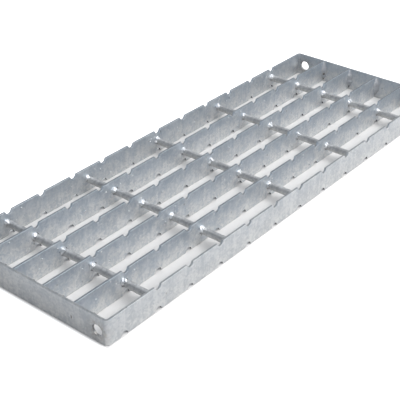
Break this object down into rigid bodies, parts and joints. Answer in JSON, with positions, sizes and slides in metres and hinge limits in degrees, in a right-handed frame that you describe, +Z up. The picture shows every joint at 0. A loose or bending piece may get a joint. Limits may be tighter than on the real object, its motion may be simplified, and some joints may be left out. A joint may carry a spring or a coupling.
{
  "type": "metal stair tread",
  "caption": "Open-grid galvanised steel stair tread: notched flat bars on edge, tied by round cross rods, in a folded frame with bolt holes in its end plates.",
  "frame": {"origin": "middle of the underside", "axes": "+X along the step to the right end plate, +Y from the front edge to the rear edge, +Z up"},
  "size_m": [0.7, 0.24, 0.033],
  "materials": {
    "galvanised_bar": "hot-dip galvanised flat bar with fine spangle, satin",
    "galvanised_rod": "hot-dip galvanised round bar, dull",
    "zinc_weld": "weld beads under a thick bright zinc coat"
  },
  "bodies": {
    "root": {"front_edge_strip": "galvanised_bar", "rear_edge_strip": "galvanised_bar", "inner_bar_1": "galvanised_bar", "inner_bar_2": "galvanised_bar", "inner_bar_3": "galvanised_bar", "inner_bar_4": "galvanised_bar", "cross_rod_1": "galvanised_rod", "cross_rod_2": "galvanised_rod", "cross_rod_3": "galvanised_rod", "cross_rod_4": "galvanised_rod", "cross_rod_5": "galvanised_rod", "cross_rod_welds_1": "zinc_weld", "cross_rod_welds_2": "zinc_weld", "cross_rod_welds_3": "zinc_weld", "cross_rod_welds_4": "zinc_weld", "cross_rod_welds_5": "zinc_weld", "left_bar_end_welds": "zinc_weld", "right_bar_end_welds": "zinc_weld", "front_right_corner_weld": "zinc_weld", "rear_left_corner_weld": "zinc_weld"}
  },
  "joints": []
}
